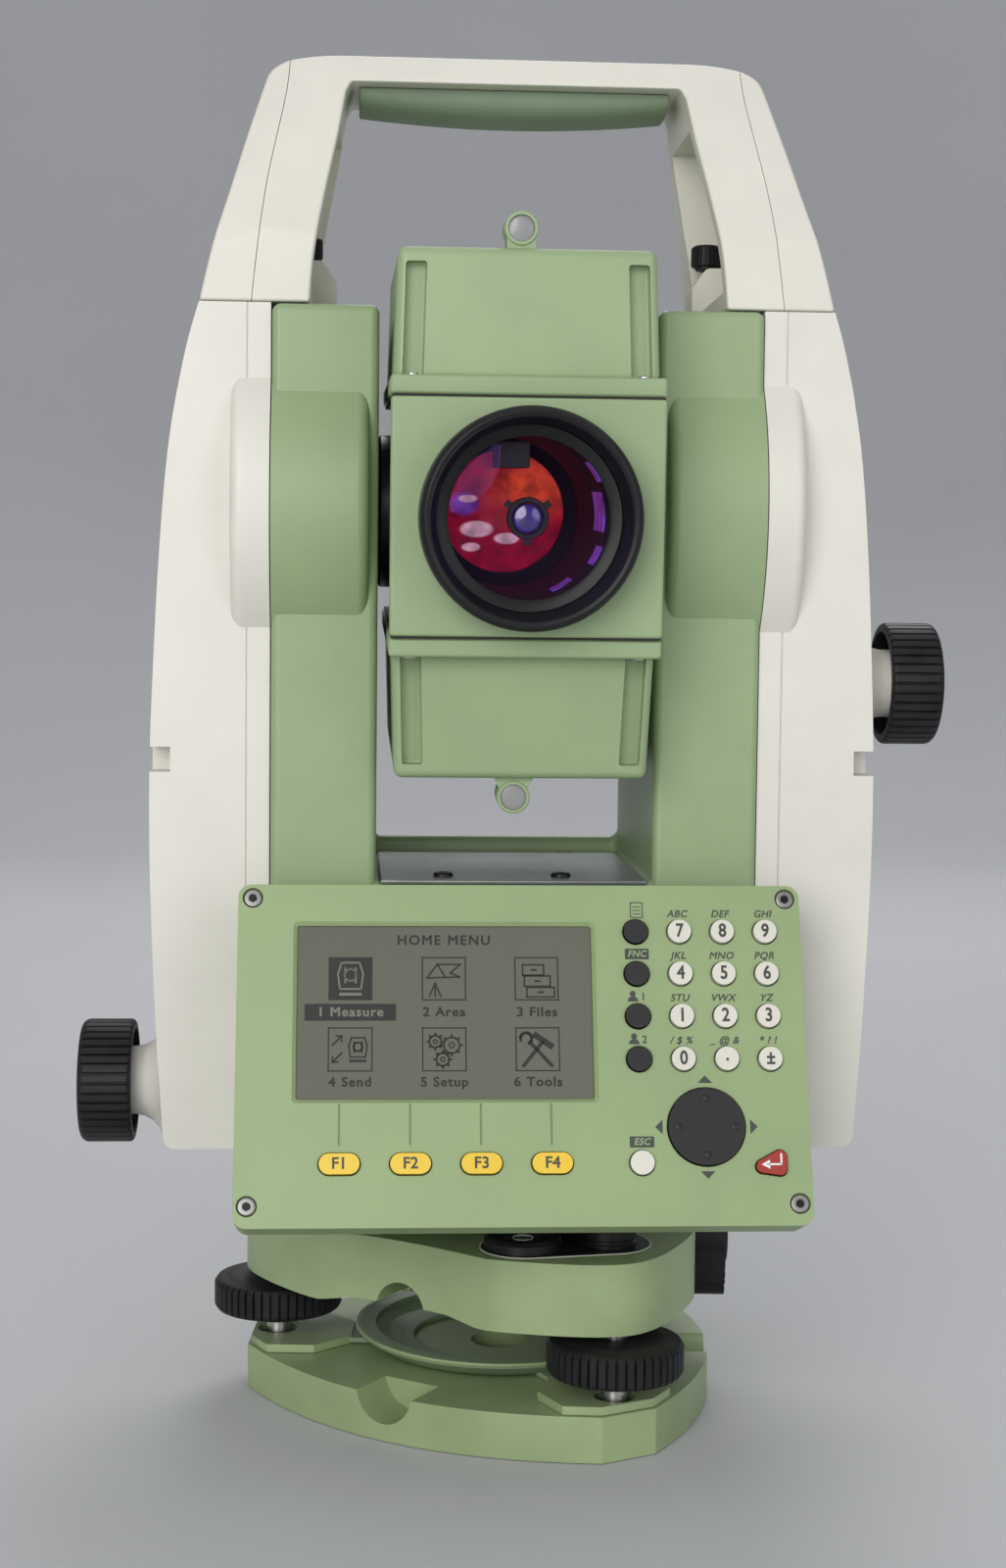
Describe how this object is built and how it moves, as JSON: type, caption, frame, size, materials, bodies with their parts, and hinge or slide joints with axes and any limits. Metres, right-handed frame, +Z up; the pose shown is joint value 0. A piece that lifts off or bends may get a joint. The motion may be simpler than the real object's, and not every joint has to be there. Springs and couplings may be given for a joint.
{
  "type": "surveying total station",
  "caption": "Surveying total station: a tilting telescope between two standards that turn on a three-screw tribrach, with a keyboard and screen panel and a carrying handle.",
  "frame": {"origin": "centre of the object's box at the underside of the tribrach's base plate, on the vertical axis", "axes": "+Z up along the vertical axis, -Y towards the user's side with keyboard and objective, +X to the right of that view"},
  "size_m": [0.226, 0.1862, 0.36],
  "materials": {
    "body_paint": "fine textured light green paint",
    "tribrach_paint": "satin light green paint, slightly worn",
    "white_plastic": "warm white, finely grained",
    "grip_rubber": "dark green soft grip",
    "knob_plastic": "black, ribbed, semi-matt",
    "black_plastic": "black, satin",
    "dark_metal": "dark blackened metal",
    "steel": "plain steel",
    "level_vial": "black ring round a dark glass bubble",
    "screen_glass": "grey-green liquid crystal display",
    "lens_glass": "coated glass with red and violet reflections",
    "key_yellow": "yellow",
    "key_white": "off-white",
    "key_black": "charcoal",
    "key_red": "red"
  },
  "bodies": {
    "base": {"base_plate": "tribrach_paint", "spring_plate": "dark_metal"},
    "tribrach": {"tribrach_body": "tribrach_paint", "circular_level": "level_vial", "instrument_flange": "black_plastic"},
    "clamp": {"clamp_knob": "knob_plastic"},
    "footscrew_left": {"footscrew_left": "knob_plastic"},
    "footscrew_back": {"footscrew_back": "knob_plastic"},
    "footscrew_front_ball": {"footscrew_front_ball": "steel"},
    "footscrew_front": {"footscrew_front": "knob_plastic"},
    "alidade": {"alidade_frame": "body_paint", "left_cover": "white_plastic", "right_cover": "white_plastic", "left_bearing": "steel", "right_bearing": "steel", "panel_housing": "body_paint", "display": "screen_glass", "handle": "white_plastic", "handle_grip": "grip_rubber"},
    "telescope": {"telescope_body": "body_paint", "left_trunnion": "dark_metal", "right_trunnion": "dark_metal", "vertical_circle": "lens_glass", "upper_shell": "body_paint", "lower_shell": "body_paint", "objective_ring": "black_plastic", "objective_lens": "lens_glass", "upper_sight": "body_paint", "lower_sight": "body_paint"},
    "focusing_ring": {"focusing_ring": "knob_plastic"},
    "eyepiece": {"eyepiece": "black_plastic"},
    "horizontal_drive": {"horizontal_drive_knob": "knob_plastic"},
    "vertical_drive": {"vertical_drive_knob": "knob_plastic"},
    "handle_screw_left": {"handle_screw_left": "knob_plastic"},
    "handle_screw_right": {"handle_screw_right": "knob_plastic"},
    "battery_door": {"battery_door": "white_plastic"},
    "battery_latch": {"battery_latch": "black_plastic"},
    "key_f1": {"key_f1": "key_yellow"},
    "key_f2": {"key_f2": "key_yellow"},
    "key_f3": {"key_f3": "key_yellow"},
    "key_f4": {"key_f4": "key_yellow"},
    "key_side_1": {"key_side_1": "key_black"},
    "key_7": {"key_7": "key_white"},
    "key_8": {"key_8": "key_white"},
    "key_9": {"key_9": "key_white"},
    "key_side_2": {"key_side_2": "key_black"},
    "key_4": {"key_4": "key_white"},
    "key_5": {"key_5": "key_white"},
    "key_6": {"key_6": "key_white"},
    "key_side_3": {"key_side_3": "key_black"},
    "key_1": {"key_1": "key_white"},
    "key_2": {"key_2": "key_white"},
    "key_3": {"key_3": "key_white"},
    "key_side_4": {"key_side_4": "key_black"},
    "key_0": {"key_0": "key_white"},
    "key_point": {"key_point": "key_white"},
    "key_sign": {"key_sign": "key_white"},
    "key_escape": {"key_escape": "key_white"},
    "key_navigation": {"key_navigation": "key_black"},
    "key_enter": {"key_enter": "key_red"}
  },
  "joints": [
    {"name": "level_tilt", "type": "hinge", "parent": "base", "child": "tribrach", "pos_m": [-0.0131, 0.0281, 0.01], "axis": [0.9063, 0.4226, 0], "range_deg": [-1.2, 1.2]},
    {"name": "clamp_turn", "type": "hinge", "parent": "tribrach", "child": "clamp", "pos_m": [0.0523, -0.00458, 0.043], "axis": [0.9962, -0.0872, 0], "range_deg": [0, 180]},
    {"name": "footscrew_left_turn", "type": "hinge", "parent": "tribrach", "child": "footscrew_left", "pos_m": [-0.06176, 0.0054, 0.01], "axis": [0, 0, 1], "range_deg": [-720, 720]},
    {"name": "footscrew_back_turn", "type": "hinge", "parent": "tribrach", "child": "footscrew_back", "pos_m": [0.03556, 0.05079, 0.01], "axis": [0, 0, 1], "range_deg": [-720, 720]},
    {"name": "footscrew_front_lift", "type": "slide", "parent": "tribrach", "child": "footscrew_front_ball", "axis": [0, 0, 1], "range_m": [-0.00205, 0.00205]},
    {"name": "footscrew_front_turn", "type": "hinge", "parent": "footscrew_front_ball", "child": "footscrew_front", "pos_m": [0.0262, -0.05619, 0.01], "axis": [0, 0, 1], "range_deg": [-710, 710]},
    {"name": "vertical_axis", "type": "hinge", "parent": "tribrach", "child": "alidade", "pos_m": [0, 0, 0.068], "axis": [0, 0, 1], "continuous": true},
    {"name": "tilting_axis", "type": "hinge", "parent": "alidade", "child": "telescope", "pos_m": [0, 0, 0.242], "axis": [1, 0, 0], "continuous": true},
    {"name": "focus_turn", "type": "hinge", "parent": "telescope", "child": "focusing_ring", "pos_m": [0, 0.05191, 0.24508], "axis": [0, 0.9982, 0.0593], "range_deg": [-170, 170]},
    {"name": "eyepiece_turn", "type": "hinge", "parent": "telescope", "child": "eyepiece", "pos_m": [0, 0.07926, 0.24671], "axis": [0, 0.9982, 0.0593], "range_deg": [-150, 150]},
    {"name": "horizontal_drive_turn", "type": "hinge", "parent": "alidade", "child": "horizontal_drive", "pos_m": [-0.099, -0.022, 0.09], "axis": [-1, 0, 0], "continuous": true},
    {"name": "vertical_drive_turn", "type": "hinge", "parent": "alidade", "child": "vertical_drive", "pos_m": [0.099, -0.022, 0.197], "axis": [1, 0, 0], "continuous": true},
    {"name": "handle_screw_left_turn", "type": "hinge", "parent": "alidade", "child": "handle_screw_left", "pos_m": [-0.055, 0.01, 0.3098], "axis": [0, 0, 1], "range_deg": [0, 1080]},
    {"name": "handle_screw_right_turn", "type": "hinge", "parent": "alidade", "child": "handle_screw_right", "pos_m": [0.055, 0.01, 0.3098], "axis": [0, 0, 1], "range_deg": [0, 1080]},
    {"name": "battery_door_open", "type": "hinge", "parent": "alidade", "child": "battery_door", "pos_m": [0.0935, 0.021, 0.0843], "axis": [0, 1, 0], "range_deg": [0, 75]},
    {"name": "battery_latch_turn", "type": "hinge", "parent": "battery_door", "child": "battery_latch", "pos_m": [0.0938, 0.021, 0.1185], "axis": [1, 0, 0], "range_deg": [0, 90]},
    {"name": "key_f1_press", "type": "slide", "parent": "alidade", "child": "key_f1", "axis": [0, 0.9348, -0.3551], "range_m": [0, 0.0008], "stiffness_N_per_m": 300, "springref_m": -0.001},
    {"name": "key_f2_press", "type": "slide", "parent": "alidade", "child": "key_f2", "axis": [0, 0.9348, -0.3551], "range_m": [0, 0.0008], "stiffness_N_per_m": 300, "springref_m": -0.001},
    {"name": "key_f3_press", "type": "slide", "parent": "alidade", "child": "key_f3", "axis": [0, 0.9348, -0.3551], "range_m": [0, 0.0008], "stiffness_N_per_m": 300, "springref_m": -0.001},
    {"name": "key_f4_press", "type": "slide", "parent": "alidade", "child": "key_f4", "axis": [0, 0.9348, -0.3551], "range_m": [0, 0.0008], "stiffness_N_per_m": 300, "springref_m": -0.001},
    {"name": "key_side_1_press", "type": "slide", "parent": "alidade", "child": "key_side_1", "axis": [0, 0.9348, -0.3551], "range_m": [0, 0.0008], "stiffness_N_per_m": 300, "springref_m": -0.001},
    {"name": "key_7_press", "type": "slide", "parent": "alidade", "child": "key_7", "axis": [0, 0.9348, -0.3551], "range_m": [0, 0.0008], "stiffness_N_per_m": 300, "springref_m": -0.001},
    {"name": "key_8_press", "type": "slide", "parent": "alidade", "child": "key_8", "axis": [0, 0.9348, -0.3551], "range_m": [0, 0.0008], "stiffness_N_per_m": 300, "springref_m": -0.001},
    {"name": "key_9_press", "type": "slide", "parent": "alidade", "child": "key_9", "axis": [0, 0.9348, -0.3551], "range_m": [0, 0.0008], "stiffness_N_per_m": 300, "springref_m": -0.001},
    {"name": "key_side_2_press", "type": "slide", "parent": "alidade", "child": "key_side_2", "axis": [0, 0.9348, -0.3551], "range_m": [0, 0.0008], "stiffness_N_per_m": 300, "springref_m": -0.001},
    {"name": "key_4_press", "type": "slide", "parent": "alidade", "child": "key_4", "axis": [0, 0.9348, -0.3551], "range_m": [0, 0.0008], "stiffness_N_per_m": 300, "springref_m": -0.001},
    {"name": "key_5_press", "type": "slide", "parent": "alidade", "child": "key_5", "axis": [0, 0.9348, -0.3551], "range_m": [0, 0.0008], "stiffness_N_per_m": 300, "springref_m": -0.001},
    {"name": "key_6_press", "type": "slide", "parent": "alidade", "child": "key_6", "axis": [0, 0.9348, -0.3551], "range_m": [0, 0.0008], "stiffness_N_per_m": 300, "springref_m": -0.001},
    {"name": "key_side_3_press", "type": "slide", "parent": "alidade", "child": "key_side_3", "axis": [0, 0.9348, -0.3551], "range_m": [0, 0.0008], "stiffness_N_per_m": 300, "springref_m": -0.001},
    {"name": "key_1_press", "type": "slide", "parent": "alidade", "child": "key_1", "axis": [0, 0.9348, -0.3551], "range_m": [0, 0.0008], "stiffness_N_per_m": 300, "springref_m": -0.001},
    {"name": "key_2_press", "type": "slide", "parent": "alidade", "child": "key_2", "axis": [0, 0.9348, -0.3551], "range_m": [0, 0.0008], "stiffness_N_per_m": 300, "springref_m": -0.001},
    {"name": "key_3_press", "type": "slide", "parent": "alidade", "child": "key_3", "axis": [0, 0.9348, -0.3551], "range_m": [0, 0.0008], "stiffness_N_per_m": 300, "springref_m": -0.001},
    {"name": "key_side_4_press", "type": "slide", "parent": "alidade", "child": "key_side_4", "axis": [0, 0.9348, -0.3551], "range_m": [0, 0.0008], "stiffness_N_per_m": 300, "springref_m": -0.001},
    {"name": "key_0_press", "type": "slide", "parent": "alidade", "child": "key_0", "axis": [0, 0.9348, -0.3551], "range_m": [0, 0.0008], "stiffness_N_per_m": 300, "springref_m": -0.001},
    {"name": "key_point_press", "type": "slide", "parent": "alidade", "child": "key_point", "axis": [0, 0.9348, -0.3551], "range_m": [0, 0.0008], "stiffness_N_per_m": 300, "springref_m": -0.001},
    {"name": "key_sign_press", "type": "slide", "parent": "alidade", "child": "key_sign", "axis": [0, 0.9348, -0.3551], "range_m": [0, 0.0008], "stiffness_N_per_m": 300, "springref_m": -0.001},
    {"name": "key_escape_press", "type": "slide", "parent": "alidade", "child": "key_escape", "axis": [0, 0.9348, -0.3551], "range_m": [0, 0.0008], "stiffness_N_per_m": 300, "springref_m": -0.001},
    {"name": "key_navigation_press", "type": "slide", "parent": "alidade", "child": "key_navigation", "axis": [0, 0.9348, -0.3551], "range_m": [0, 0.0008], "stiffness_N_per_m": 300, "springref_m": -0.001},
    {"name": "key_enter_press", "type": "slide", "parent": "alidade", "child": "key_enter", "axis": [0, 0.9348, -0.3551], "range_m": [0, 0.0008], "stiffness_N_per_m": 300, "springref_m": -0.001}
  ],
  "couplings": [
    {"joint": "footscrew_front_lift", "follows": "level_tilt", "m_per_rad": 0.093},
    {"joint": "footscrew_front_turn", "follows": "level_tilt", "ratio": 584.34}
  ]
}
